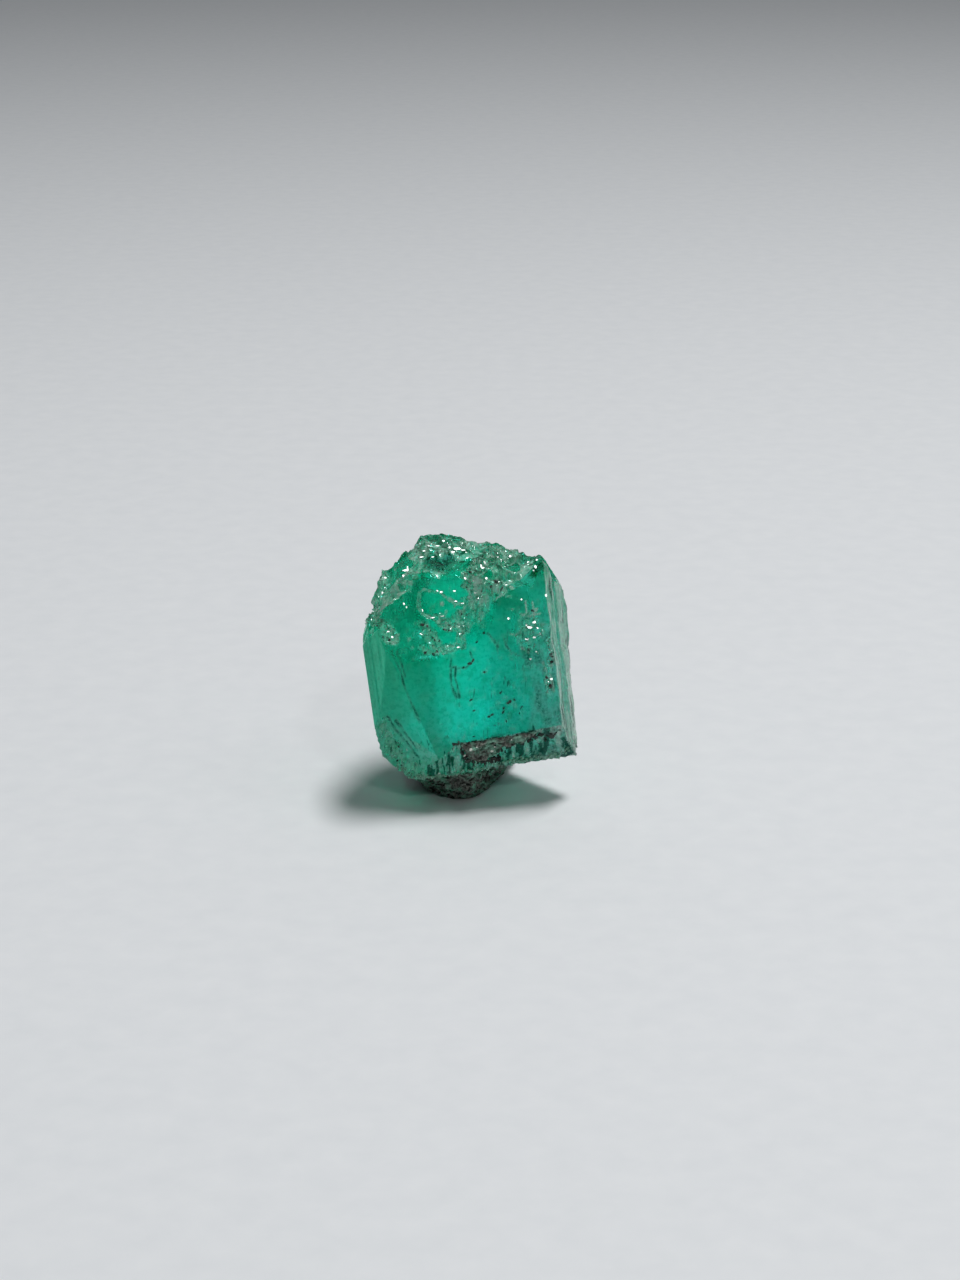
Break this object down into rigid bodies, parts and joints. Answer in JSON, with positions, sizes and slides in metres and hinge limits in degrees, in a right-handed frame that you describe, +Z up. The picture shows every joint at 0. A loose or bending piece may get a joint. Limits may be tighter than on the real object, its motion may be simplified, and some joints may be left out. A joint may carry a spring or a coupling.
{
  "type": "raw emerald crystal",
  "caption": "Broken stub of a six-sided green beryl prism with flat striated sides and a rough, shell-broken top, standing on a lump of dark host rock.",
  "frame": {"origin": "on the flat face that the rock foot rests on, under the middle of the crystal", "axes": "+Z up, +X to the right and +Y to the back as the widest prism face is seen from in front"},
  "size_m": [0.008, 0.0067, 0.0099],
  "materials": {
    "emerald": "clear green crystal, frosted along the sides and on the broken top",
    "host_rock": "rough dull black shale"
  },
  "bodies": {
    "root": {"emerald_crystal": "emerald", "matrix_foot": "host_rock", "matrix_crust": "host_rock"}
  },
  "joints": []
}
